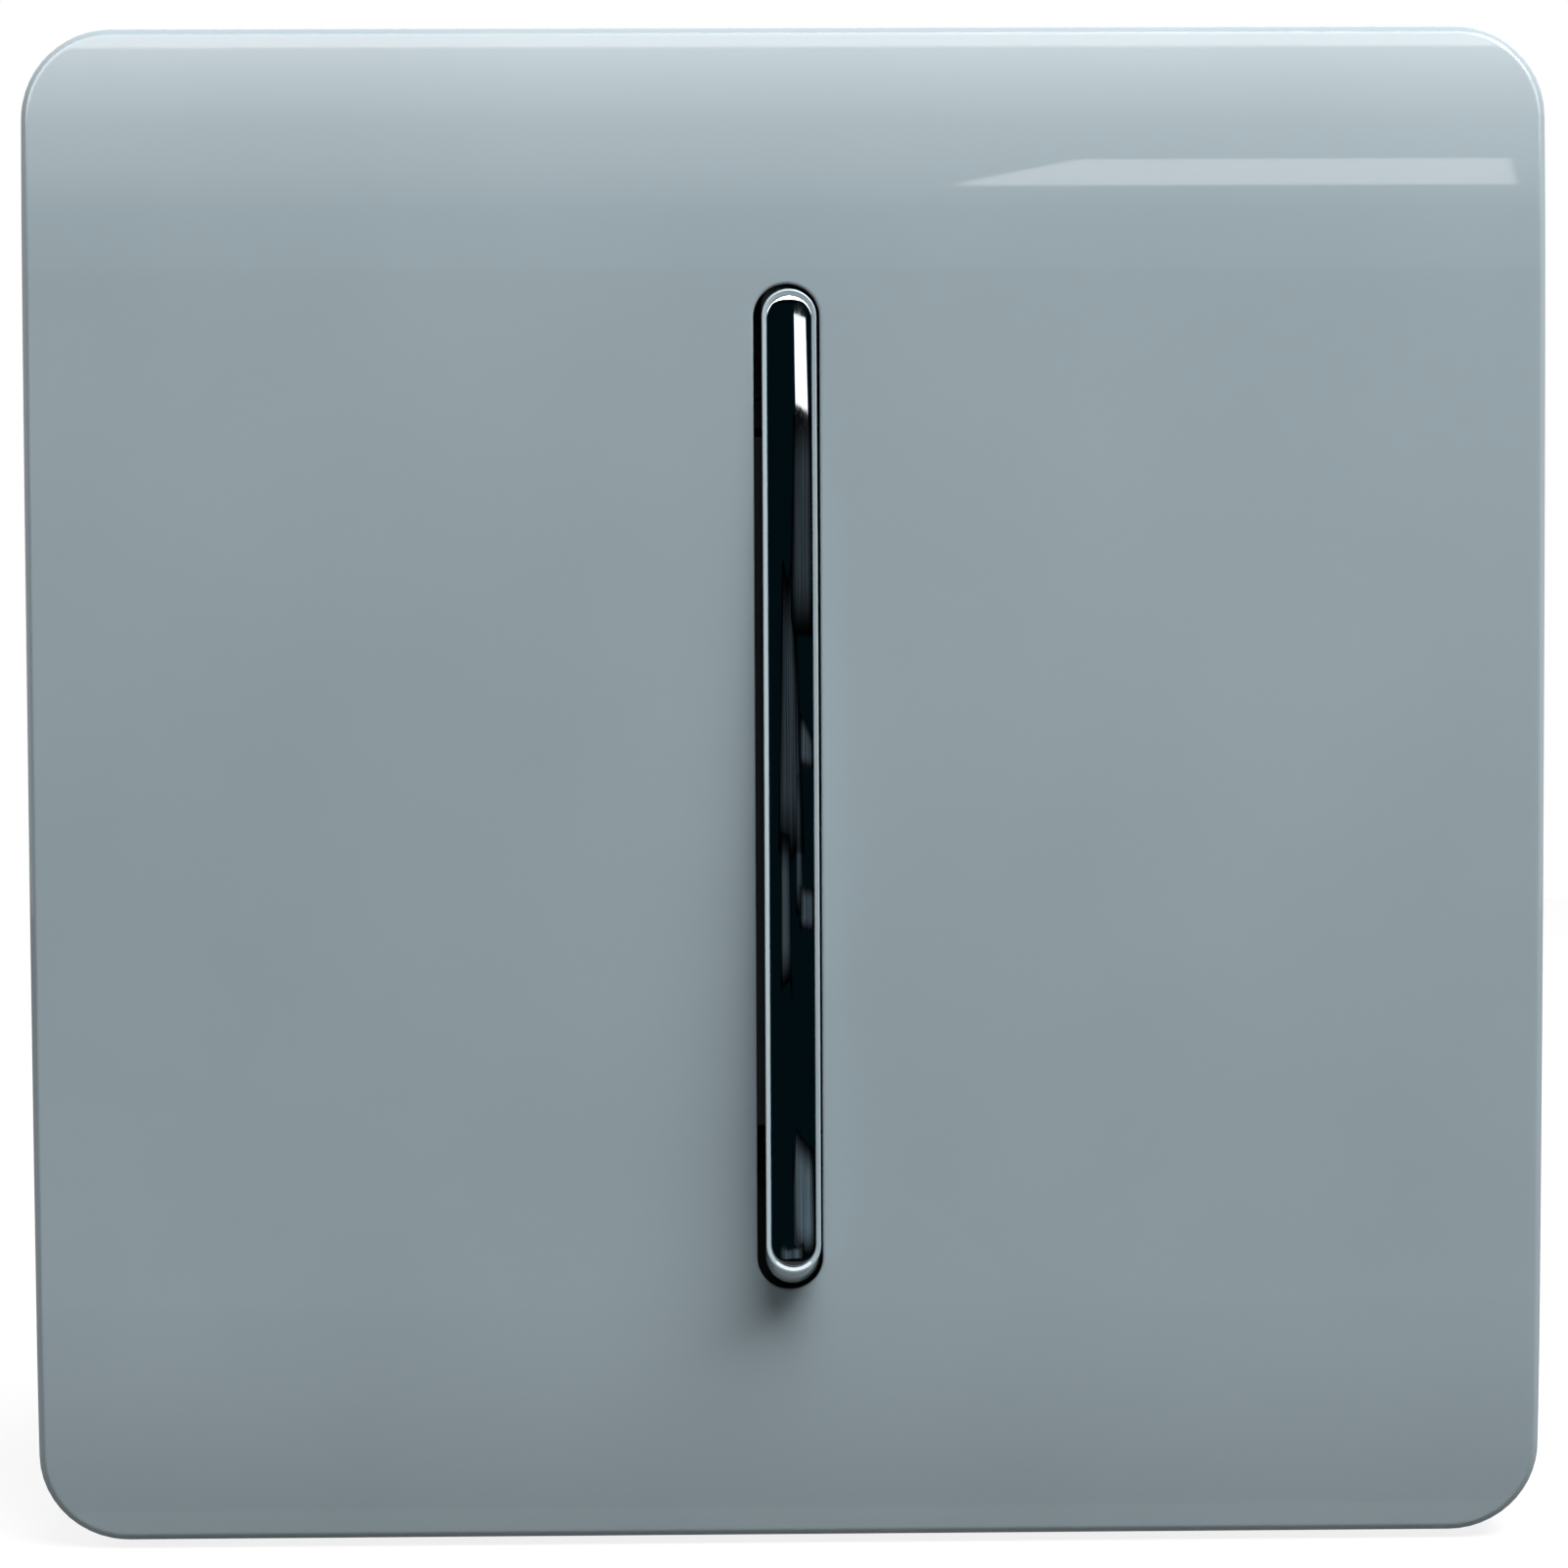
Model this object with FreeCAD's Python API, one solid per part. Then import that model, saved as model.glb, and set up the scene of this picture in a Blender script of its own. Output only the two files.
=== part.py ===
import FreeCAD, Part
import math
import os

# One-gang two-way rocker light switch, in millimetres.
# x is to the right, y runs into the wall, z is up. The wall plane is y = 0 and the origin lies
# midway between the two box screws. Everything that swings is drawn at mid travel and then
# turned to its rest angle: top pressed in, bottom out.

# Front plate
PLATE_SIZE = 86.0
PLATE_HEIGHT = 8.0
PLATE_CORNER_R = 5.0
PLATE_DRAFT_DEG = 5.0
PLATE_WALL = 2.0
PLATE_WALL_GAP = 0.6
PLATE_EDGE = 0.3
CROWN_R = 800.0
CROWN_HALF = 29.0
CROWN_END_R = 80.0
SLOT_LENGTH = 56.4
SLOT_WIDTH = 3.7
SLOT_LIP = 0.6
RELIEF_MARGIN = 0.9
COLLAR_WALL = 1.1
COLLAR_DEPTH = 1.0
PEG_SIZE = 3.6
PEG_INSET = 6.3
PEG_FIT = 0.05
PEG_TIP_GAP = 0.8
RIB_THICK = 1.2
RIB_LENGTH = 20.0
RIB_INSET = 2.3
RIB_FRAME_GAP = 0.2

# Mounting frame
FRAME_SIDE_GAP = 1.2
FRAME_CORNER_R = 3.4
FRAME_THICK = 2.6
FRAME_POCKET = 0.9
FRAME_RIM = 3.0
FIXING_PITCH = 60.3
FIXING_HOLE_R = 2.05
FIXING_LAND = 12.0
APERTURE_FIT = 0.15

# Switch body: cradle in front, housing behind
BODY_WIDTH = 43.0
BODY_LENGTH = 47.0
BODY_CORNER_R = 2.0
FLANGE_THICK = 2.0
HOUSING_FLOOR = 2.0
LAND_MARGIN = 2.0
WELL_WIDTH = 18.7
WELL_LENGTH = 40.7
WELL_WALL = 1.6
HUB_WINDOW_LENGTH = 13.0
CHEEK_THICK = 2.6
CHEEK_LENGTH = 7.0
CHEEK_HEIGHT = 2.4
CHEEK_DEPTH = 4.0
BEARING_FIT = 0.06
SNAP_WIDTH = 2.6
MOULDING_FIT = 0.2
CHAMBER_SIDE_GAP = 1.6
CHAMBER_END_GAP = 1.4
CORE_WALL = 1.6
CORE_SIDE_WIDTH = 7.8

# Rocker
TILT_DEG = 3.3
PIVOT_Y = 0.0
PIVOT_Z = 0.1
SIDE_FLOAT = 0.15
BAR_PROUD = 1.6
BAR_SIDE_GAP = 0.335
BAR_END_GAP = 0.53
BAR_REAR_Y = -4.7
BAR_RIM = 0.24
BAR_END_RIM = 0.32
TRIM_THICK = 1.0
TRIM_DOME_R = 6.0
TANG_THICK = 1.4
TANG_DEPTH = 1.5
TANG_LENGTH = 6.0
TANG_OFFSET = 10.0
TANG_FIT = 0.05
HUB_R = 3.4
HUB_WIDTH = 10.0
TRUNNION_R = 1.5
TRUNNION_PROUD = 0.1
SPINE_WIDTH = 4.0
SPINE_END_GAP = 0.85
SPINE_END_Y = -3.4
SPINE_ROOT_Y = -0.8
SPINE_ROOT_HALF = 5.5
TUBE_R = 2.6
TUBE_MOUTH_Y = 8.5
PLUNGER_FIT = 0.08
SPRING_SEAT_Y = 0.8

# Plunger and its spring
PLUNGER_R = 1.6
PLUNGER_NOSE_R = 1.25
PLUNGER_TAIL_Y = 6.1
PLUNGER_SHOULDER_Y = 9.5
PLUNGER_REACH = 11.5
SPRING_WIRE_R = 0.2
SPRING_R = 1.2
SPRING_TURNS = 3
SPRING_WIRE_SIDES = 5

# Moving contact
CONTACT_RATIO = 2.1
NOSE_TO_CONTACT_AXIS = 1.7
NOSE_CLEARANCE = 0.1
BLADE_THICK = 0.7
BLADE_WIDTH = 5.6
BLADE_LENGTH = 22.4
TROUGH_HALF_DEG = 40.0
EAR_R = 0.8
EAR_PROUD = 0.5
EAR_FIT = 0.08
TIP_R = 1.5
TIP_HEIGHT = 0.7
TIP_DOME_R = 4.0
TIP_EDGE_GAP = 0.2

# Fixed contacts, bracket and terminals
CLOSED_GAP = 0.1
FIXED_TIP_MARGIN = 0.2
FIXED_TIP_HEIGHT = 0.6
STRIP_THICK = 0.8
STRIP_WIDTH = 3.6
STRIP_OVERHANG = 3.0
FORK_SIDE_GAP = 0.4
FORK_LENGTH = 3.8
FORK_HEIGHT = 1.4
LEG_WIDTH = 3.5
BLOCK_WIDTH = 7.0
BLOCK_LENGTH = 9.0
BLOCK_SIDE_WALL = 4.0
BLOCK_END_WALL = 6.0
BLOCK_FRONT_Y = 7.0
BLOCK_REAR_Y = 16.0
TAB_FRONT_Y = 12.5
WIRE_BORE_R = 1.7
WIRE_BORE_Y = 10.6
WIRE_ENTRY_MARGIN = 0.4
TERMINAL_SCREW_R = 1.75
TERMINAL_SCREW_FIT = 0.05
TERMINAL_SCREW_TIP_GAP = 0.1
TERMINAL_SCREW_LENGTH = 5.4
SCREW_ACCESS_MARGIN = 0.45
SCREW_SLOT_WIDTH = 0.5
SCREW_SLOT_DEPTH = 0.8
POST_WIDTH = 4.0

# Two self-tapping screws, at opposite corners, that hold housing, cradle and frame together
BODY_SCREW_SIDE_INSET = 2.9
BODY_SCREW_END_INSET = 2.6
BODY_SCREW_R = 1.1
BODY_SCREW_HOLE_MARGIN = 0.2
BODY_SCREW_HEAD_R = 2.0
BODY_SCREW_HEAD_HEIGHT = 1.4
BODY_SCREW_TIP_Y = -1.8
HEAD_FIT = 0.15

# Places that follow from the sizes above
RIGHT = FreeCAD.Vector(1, 0, 0)
INTO_WALL = FreeCAD.Vector(0, 1, 0)
UP = FreeCAD.Vector(0, 0, 1)
FAR = 60.0
OVERSHOOT = 1.0
FRAME_SIZE = PLATE_SIZE - 2 * (PLATE_WALL + FRAME_SIDE_GAP)
PEG_OFFSET = FRAME_SIZE / 2 - PEG_INSET
RIB_OFFSET = FRAME_SIZE / 2 - RIB_INSET
BAR_FACE_Y = -(PLATE_HEIGHT + BAR_PROUD)
BAR_WIDTH = SLOT_WIDTH - 2 * BAR_SIDE_GAP
BAR_END_R = math.hypot(SLOT_LENGTH / 2 - BAR_END_GAP, PLATE_HEIGHT)
SPINE_LENGTH = WELL_LENGTH - 2 * SPINE_END_GAP
NOSE_Y = PIVOT_Y + PLUNGER_REACH
CONTACT_AXIS_Y = NOSE_Y + NOSE_TO_CONTACT_AXIS
CONTACT_TILT_DEG = CONTACT_RATIO * TILT_DEG
WELL_OUTER_WIDTH = WELL_WIDTH + 2 * WELL_WALL
WELL_OUTER_LENGTH = WELL_LENGTH + 2 * WELL_WALL
CHEEK_INNER_X = HUB_WIDTH / 2 + MOULDING_FIT + SIDE_FLOAT
TRUNNION_LENGTH = CHEEK_THICK + TRUNNION_PROUD
TUBE_BORE_R = PLUNGER_R + PLUNGER_FIT
TIP_OFFSET = BLADE_LENGTH / 2 - TIP_R - TIP_EDGE_GAP
FIXED_TIP_R = TIP_R + FIXED_TIP_MARGIN
FORK_INNER = BLADE_WIDTH + 2 * FORK_SIDE_GAP
EAR_LENGTH = FORK_SIDE_GAP + STRIP_THICK + EAR_PROUD
CHAMBER_WIDTH = FORK_INNER + 2 * STRIP_THICK + 2 * CHAMBER_SIDE_GAP
CHAMBER_LENGTH = BLADE_LENGTH + 2 * CHAMBER_END_GAP
BLOCK_OFFSET_X = BODY_WIDTH / 2 - BLOCK_SIDE_WALL - BLOCK_WIDTH / 2
BLOCK_OFFSET_Z = BODY_LENGTH / 2 - BLOCK_END_WALL - BLOCK_LENGTH / 2
BLOCK_INNER_X = BLOCK_OFFSET_X - BLOCK_WIDTH / 2
WIRE_ENTRY_R = WIRE_BORE_R + WIRE_ENTRY_MARGIN
SCREW_ACCESS_R = TERMINAL_SCREW_R + SCREW_ACCESS_MARGIN
BODY_SCREW_HOLE_R = BODY_SCREW_R + BODY_SCREW_HOLE_MARGIN
BODY_SCREW_X = BODY_WIDTH / 2 - BODY_SCREW_SIDE_INSET
BODY_SCREW_Z = BODY_LENGTH / 2 - BODY_SCREW_END_INSET


def box(x0, x1, y0, y1, z0, z1):
    """A block between two corners."""
    corner = FreeCAD.Vector(x0, y0, z0)
    return Part.makeBox(x1 - x0, y1 - y0, z1 - z0, corner)


def rod(radius, y0, y1, x, z):
    """A cylinder along y."""
    return Part.makeCylinder(radius, y1 - y0, FreeCAD.Vector(x, y0, z), INTO_WALL)


def edges_along_y(solid):
    """The edges that run from the solid's front towards its rear."""
    depth = solid.BoundBox.YLength
    return [edge for edge in solid.Edges if edge.BoundBox.YLength > depth / 2]


def square_rod(size, y0, y1, x, z):
    """A square bar along y."""
    half = size / 2
    return box(x - half, x + half, y0, y1, z - half, z + half)


def round_box(width, length, radius, y0, y1):
    """A block centred on the y axis, with the four edges along y rounded."""
    solid = box(-width / 2, width / 2, y0, y1, -length / 2, length / 2)
    return solid.makeFillet(radius, edges_along_y(solid))


def obround_wire(half_length, half_width, y):
    """A long outline with half-round ends, along z, in the plane at the given y."""
    flat = half_length - half_width
    right_top = FreeCAD.Vector(half_width, y, flat)
    left_top = FreeCAD.Vector(-half_width, y, flat)
    right_bottom = FreeCAD.Vector(half_width, y, -flat)
    left_bottom = FreeCAD.Vector(-half_width, y, -flat)
    top = FreeCAD.Vector(0, y, half_length)
    bottom = FreeCAD.Vector(0, y, -half_length)
    return Part.Wire([
        Part.LineSegment(right_bottom, right_top).toShape(),
        Part.Arc(right_top, top, left_top).toShape(),
        Part.LineSegment(left_top, left_bottom).toShape(),
        Part.Arc(left_bottom, bottom, right_bottom).toShape(),
    ])


def obround(half_length, half_width, y0, y1):
    """A straight-sided pin or hole of obround outline along y."""
    return Part.Face(obround_wire(half_length, half_width, y0)).extrude(INTO_WALL * (y1 - y0))


def corner_places(x, z):
    """The four corners of a rectangle about the middle."""
    return [(side_x * x, side_z * z) for side_x in (-1, 1) for side_z in (-1, 1)]


def side_profile(points, half_width):
    """A closed outline of (y, z) corners, made solid across x."""
    corners = [FreeCAD.Vector(-half_width, y, z) for y, z in points]
    outline = Part.makePolygon(corners + [corners[0]])
    return Part.Face(outline).extrude(RIGHT * (2 * half_width))


def crown_solid(inset):
    """What lies behind the plate's crowned front: a flat arc that tightens at top and bottom."""
    turn = math.asin(CROWN_HALF / CROWN_R)
    centre_y = CROWN_R - PLATE_HEIGHT
    end_centre_y = centre_y - (CROWN_R - CROWN_END_R) * math.cos(turn)
    end_centre_z = (CROWN_R - CROWN_END_R) * math.sin(turn)
    end_turn = math.asin((PLATE_SIZE / 2 - end_centre_z) / CROWN_END_R)

    def middle(angle):
        radius = CROWN_R - inset
        return FreeCAD.Vector(-FAR, centre_y - radius * math.cos(angle), radius * math.sin(angle))

    def end(angle, side):
        radius = CROWN_END_R - inset
        z = end_centre_z + radius * math.sin(angle)
        return FreeCAD.Vector(-FAR, end_centre_y - radius * math.cos(angle), side * z)

    half_way = (turn + end_turn) / 2
    edges = [
        Part.Arc(end(end_turn, -1), end(half_way, -1), middle(-turn)).toShape(),
        Part.Arc(middle(-turn), middle(0), middle(turn)).toShape(),
        Part.Arc(middle(turn), end(half_way, 1), end(end_turn, 1)).toShape(),
    ]
    top = end(end_turn, 1)
    corners = [top, FreeCAD.Vector(-FAR, top.y, FAR), FreeCAD.Vector(-FAR, FAR, FAR)]
    corners += [FreeCAD.Vector(-FAR, FAR, -FAR), FreeCAD.Vector(-FAR, top.y, -FAR), end(end_turn, -1)]
    edges += Part.makePolygon(corners).Edges
    return Part.Face(Part.Wire(edges)).extrude(RIGHT * (2 * FAR))


def drafted_square(inset):
    """The plate's drafted outline, narrower towards the front, inset by the wall for its inside."""
    front_y = -PLATE_HEIGHT - OVERSHOOT
    depth = -PLATE_WALL_GAP - front_y
    half = PLATE_SIZE / 2 - inset
    front_half = half - depth * math.tan(math.radians(PLATE_DRAFT_DEG))
    wedge = Part.makeWedge(-front_half, front_y, -front_half, -half, -half,
                           front_half, -PLATE_WALL_GAP, front_half, half, half)
    return wedge.makeFillet(PLATE_CORNER_R - inset, edges_along_y(wedge))


def inner_face_y(z):
    """Where the inside of the plate lies, y at a height z outside the flat arc."""
    turn = math.asin(CROWN_HALF / CROWN_R)
    centre_y = CROWN_R - PLATE_HEIGHT - (CROWN_R - CROWN_END_R) * math.cos(turn)
    centre_z = (CROWN_R - CROWN_END_R) * math.sin(turn)
    return centre_y - math.sqrt((CROWN_END_R - PLATE_WALL) ** 2 - (abs(z) - centre_z) ** 2)


def plate_pegs():
    """Four square push-fit pegs that enter the frame's sockets."""
    front_y = inner_face_y(PEG_OFFSET) - PLATE_WALL / 2
    places = corner_places(PEG_OFFSET, PEG_OFFSET)
    return [square_rod(PEG_SIZE, front_y, -PEG_TIP_GAP, x, z) for x, z in places]


def plate_ribs():
    """Four ribs inside the plate that come down to the frame's front."""
    seat_y = -FRAME_THICK - RIB_FRAME_GAP
    front_y = inner_face_y(RIB_OFFSET) - PLATE_WALL / 2
    half = RIB_LENGTH / 2
    ribs = []
    for side in (-1, 1):
        near = side * RIB_OFFSET - RIB_THICK / 2
        ribs.append(box(-half, half, front_y, seat_y, near, near + RIB_THICK))
        ribs.append(box(near, near + RIB_THICK, -PLATE_HEIGHT + PLATE_WALL / 2, seat_y, -half, half))
    return ribs


def front_plate():
    """Crowned, drafted cover with eased edges, a lipped slot, a light trap behind it, ribs and pegs."""
    outside = drafted_square(0).common(crown_solid(0))
    front_edges = [edge for edge in outside.Edges if edge.BoundBox.YMax < -PLATE_HEIGHT / 2]
    outside = outside.makeChamfer(PLATE_EDGE, front_edges)
    hollow = drafted_square(PLATE_WALL).common(crown_solid(PLATE_WALL))
    plate = outside.cut(hollow)
    relief_half = SLOT_LENGTH / 2 + RELIEF_MARGIN
    relief_width = SLOT_WIDTH / 2 + RELIEF_MARGIN
    collar_rear = -PLATE_HEIGHT + PLATE_WALL + COLLAR_DEPTH
    collar = obround(relief_half + COLLAR_WALL, relief_width + COLLAR_WALL, -PLATE_HEIGHT, collar_rear)
    collar = collar.common(crown_solid(PLATE_WALL / 2))
    plate = plate.fuse([collar] + plate_pegs() + plate_ribs())
    relief = obround(relief_half, relief_width, -FAR, FAR).common(crown_solid(SLOT_LIP))
    slot = obround(SLOT_LENGTH / 2, SLOT_WIDTH / 2, -FAR, FAR)
    return plate.cut([relief, slot]).removeSplitter()


def frame_recess():
    """A shallow ring behind the frame, between its rim and the body, with lands for the fixings."""
    outer = FRAME_SIZE / 2 - FRAME_RIM
    middle_x = BODY_WIDTH / 2 + LAND_MARGIN
    middle_z = BODY_LENGTH / 2 + LAND_MARGIN
    ring = box(-outer, outer, -FRAME_POCKET, OVERSHOOT, -outer, outer)
    middle = box(-middle_x, middle_x, -FRAME_POCKET, OVERSHOOT, -middle_z, middle_z)
    lands = [square_rod(FIXING_LAND, -FRAME_POCKET, OVERSHOOT, x, 0) for x in fixing_places()]
    return ring.cut([middle] + lands)


def fixing_places():
    """The two box screws, left and right."""
    return [-FIXING_PITCH / 2, FIXING_PITCH / 2]


def mounting_frame():
    """Inner grid: plate with fixing holes, peg sockets and the aperture for the cradle."""
    frame = round_box(FRAME_SIZE, FRAME_SIZE, FRAME_CORNER_R, -FRAME_THICK, 0)
    holes = [frame_recess()]
    for x, z in corner_places(PEG_OFFSET, PEG_OFFSET):
        holes.append(square_rod(PEG_SIZE + 2 * PEG_FIT, -FAR, FAR, x, z))
    for x in fixing_places():
        holes.append(rod(FIXING_HOLE_R, -FAR, FAR, x, 0))
    for x, z in body_screw_places():
        holes.append(rod(BODY_SCREW_R, BODY_SCREW_TIP_Y, FAR, x, z))
    half_width = WELL_OUTER_WIDTH / 2 + APERTURE_FIT
    half_length = WELL_OUTER_LENGTH / 2 + APERTURE_FIT
    holes.append(box(-half_width, half_width, -FAR, FAR, -half_length, half_length))
    return frame.cut(holes).removeSplitter()


def bearing_space(x, length):
    """Bearing bore and its snap-in throat, open to the front, along a stretch of x."""
    centre = FreeCAD.Vector(x, PIVOT_Y, PIVOT_Z)
    bore = Part.makeCylinder(TRUNNION_R + BEARING_FIT, length, centre, RIGHT)
    z0 = PIVOT_Z - SNAP_WIDTH / 2
    return [bore, box(x, x + length, -FAR, PIVOT_Y, z0, z0 + SNAP_WIDTH)]


def cheek(side):
    """One bearing cheek beside the hub."""
    x0, x1 = sorted((side * CHEEK_INNER_X, side * (CHEEK_INNER_X + CHEEK_THICK)))
    half = CHEEK_LENGTH / 2
    body = box(x0, x1, -CHEEK_HEIGHT, CHEEK_DEPTH, -half, half)
    return body.cut(bearing_space(x0, CHEEK_THICK))


def body_screw_places():
    """Opposite corners of the switch body."""
    return [(-BODY_SCREW_X, BODY_SCREW_Z), (BODY_SCREW_X, -BODY_SCREW_Z)]


def terminal_places():
    """Middle of each terminal block by name."""
    return {
        "common": (BLOCK_OFFSET_X, BLOCK_OFFSET_Z),
        "l1": (-BLOCK_OFFSET_X, BLOCK_OFFSET_Z),
        "l2": (-BLOCK_OFFSET_X, -BLOCK_OFFSET_Z),
    }


def mechanism_cradle():
    """Front half of the switch body: flange, well through the frame, bearing cheeks, hold-down posts."""
    flange = round_box(BODY_WIDTH, BODY_LENGTH, BODY_CORNER_R, 0, FLANGE_THICK)
    half_width = WELL_WIDTH / 2
    half_length = WELL_LENGTH / 2
    well = box(-half_width, half_width, -FAR, 0, -half_length, half_length)
    half_width += WELL_WALL
    half_length += WELL_WALL
    wall = box(-half_width, half_width, -FRAME_THICK, OVERSHOOT, -half_length, half_length)
    window_half = HUB_WINDOW_LENGTH / 2
    window = box(-CHEEK_INNER_X, CHEEK_INNER_X, -FAR, FAR, -window_half, window_half)
    posts = [
        square_rod(POST_WIDTH, FLANGE_THICK / 2, BLOCK_FRONT_Y, x, z)
        for x, z in terminal_places().values()
    ]
    bearing_cut = bearing_space(-CHEEK_INNER_X - CHEEK_THICK, 2 * (CHEEK_INNER_X + CHEEK_THICK))
    holes = [rod(BODY_SCREW_HOLE_R, -OVERSHOOT, FAR, x, z) for x, z in body_screw_places()]
    shell = flange.fuse(wall).cut([well, window] + bearing_cut)
    return shell.fuse([cheek(-1), cheek(1)] + posts).cut(holes).removeSplitter()


def strip_rear_y():
    """Rear of the fixed contact strips, where the housing's floor starts."""
    return fixed_tip_front_y() + FIXED_TIP_HEIGHT + STRIP_THICK


def housing_rear_y():
    """Rear face of the switch body."""
    return strip_rear_y() + HOUSING_FLOOR


def contact_pockets(deep_y):
    """Channels from the contact chamber to the terminals for the strips and the bracket's leg."""
    half_strip = STRIP_WIDTH / 2 + MOULDING_FIT
    near_x = CHAMBER_WIDTH / 2 - OVERSHOOT
    pockets = []
    for z in (-fixed_tip_z(), fixed_tip_z()):
        z0 = z - half_strip
        z1 = z + half_strip
        pockets.append(box(-BLOCK_INNER_X, -near_x, FLANGE_THICK, deep_y, z0, z1))
    lowest = -FORK_LENGTH / 2 - MOULDING_FIT
    highest = fixed_tip_z() + half_strip
    pockets.append(box(near_x, BLOCK_INNER_X, FLANGE_THICK, deep_y, lowest, highest))
    return pockets


def coring_pockets(deep_y):
    """Pockets that keep the moulding's walls even, where nothing else is housed."""
    inner_half = BODY_WIDTH / 2 - CORE_WALL
    end_z0 = CHAMBER_LENGTH / 2 + CORE_WALL
    end_z1 = BODY_LENGTH / 2 - CORE_WALL
    end_half = BLOCK_INNER_X - CORE_WALL
    side_half = BLOCK_OFFSET_Z - BLOCK_LENGTH / 2 - CORE_WALL
    pockets = []
    for side in (-1, 1):
        z0, z1 = sorted((side * end_z0, side * end_z1))
        pockets.append(box(-end_half, end_half, FLANGE_THICK, deep_y, z0, z1))
        x0, x1 = sorted((side * (inner_half - CORE_SIDE_WIDTH), side * inner_half))
        pockets.append(box(x0, x1, FLANGE_THICK, deep_y, -side_half, side_half))
    return pockets


def screw_notch(x, z):
    """A corner notch in the housing's rear for the head of a body screw."""
    reach = BODY_SCREW_HEAD_R + HEAD_FIT
    x0, x1 = sorted((x - math.copysign(reach, x), math.copysign(BODY_WIDTH, x)))
    z0, z1 = sorted((z - math.copysign(reach, z), math.copysign(BODY_LENGTH, z)))
    return box(x0, x1, housing_rear_y() - BODY_SCREW_HEAD_HEIGHT, FAR, z0, z1)


def mechanism_housing():
    """Rear half of the switch body: contact chamber, terminal bays, wire entries, screw access."""
    deep_y = strip_rear_y()
    rear_y = housing_rear_y()
    body = round_box(BODY_WIDTH, BODY_LENGTH, BODY_CORNER_R, FLANGE_THICK, rear_y)
    chamber_x = CHAMBER_WIDTH / 2
    chamber_z = CHAMBER_LENGTH / 2
    cuts = [box(-chamber_x, chamber_x, FLANGE_THICK, deep_y, -chamber_z, chamber_z)]
    cuts += contact_pockets(deep_y) + coring_pockets(deep_y)
    boss_half = CHEEK_LENGTH / 2 + MOULDING_FIT
    boss_x1 = CHEEK_INNER_X + CHEEK_THICK + MOULDING_FIT
    cuts.append(box(-boss_x1, boss_x1, FLANGE_THICK, CHEEK_DEPTH + MOULDING_FIT, -boss_half, boss_half))
    half_x = BLOCK_WIDTH / 2
    half_z = BLOCK_LENGTH / 2
    for x, z in corner_places(BLOCK_OFFSET_X, BLOCK_OFFSET_Z):
        cuts.append(box(x - half_x, x + half_x, FLANGE_THICK, BLOCK_REAR_Y, z - half_z, z + half_z))
    for x, z in terminal_places().values():
        start = FreeCAD.Vector(x, WIRE_BORE_Y, z)
        cuts.append(Part.makeCylinder(WIRE_ENTRY_R, FAR, start, UP * math.copysign(1, z)))
        cuts.append(rod(SCREW_ACCESS_R, BLOCK_REAR_Y - OVERSHOOT, FAR, x, z))
    for x, z in body_screw_places():
        cuts.append(rod(BODY_SCREW_HOLE_R, FLANGE_THICK - OVERSHOOT, FAR, x, z))
        cuts.append(screw_notch(x, z))
    return body.cut(cuts).removeSplitter()


def bar_slice():
    """A round-rimmed disc about the pivot, in front of the bar's rear: the gaps at its ends stay even."""
    half = BAR_WIDTH / 2
    flat = BAR_END_R - half
    points = [FreeCAD.Vector(x, PIVOT_Y, z) for x, z in ((-half, flat), (-half, 0), (half, 0), (half, flat))]
    rim = Part.Arc(points[-1], FreeCAD.Vector(0, PIVOT_Y, BAR_END_R), points[0]).toShape()
    outline = Part.Wire(Part.makePolygon(points).Edges + [rim])
    disc = Part.Face(outline).revolve(FreeCAD.Vector(0, PIVOT_Y, 0), RIGHT, 360)
    return disc.common(box(-FAR, FAR, -FAR, BAR_REAR_Y, -FAR, FAR))


def face_crown(inset):
    """What lies behind the bar's gently crowned face, inset by a depth."""
    radius = CROWN_R - inset
    centre = FreeCAD.Vector(-FAR, BAR_FACE_Y + CROWN_R, 0)
    return Part.makeCylinder(radius, 2 * FAR, centre, RIGHT)


def tangs(fit):
    """Two keys under the bar, or their slots in the dolly when a fit is given."""
    half = TANG_THICK / 2 + fit
    keys = []
    for z in (-TANG_OFFSET, TANG_OFFSET):
        z0 = z - TANG_LENGTH / 2 - fit
        z1 = z + TANG_LENGTH / 2 + fit
        keys.append(box(-half, half, BAR_REAR_Y - OVERSHOOT, BAR_REAR_Y + TANG_DEPTH, z0, z1))
    return keys


def rocker_pocket():
    """The space for the trim in the bar's face, inside a thin rim."""
    end_y = BAR_FACE_Y + BAR_END_R ** 2 / (2 * CROWN_R)
    half_length = math.sqrt(BAR_END_R ** 2 - (end_y - PIVOT_Y) ** 2) - BAR_END_RIM
    outline = obround(half_length, BAR_WIDTH / 2 - BAR_RIM, -FAR, BAR_REAR_Y)
    return outline.cut(face_crown(TRIM_THICK))


def rocker_bar():
    """Bar that stands in the slot, hollowed for its trim, with keys for the dolly."""
    bar = bar_slice().common(face_crown(0))
    return bar.cut(rocker_pocket()).fuse(tangs(0)).removeSplitter()


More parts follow.
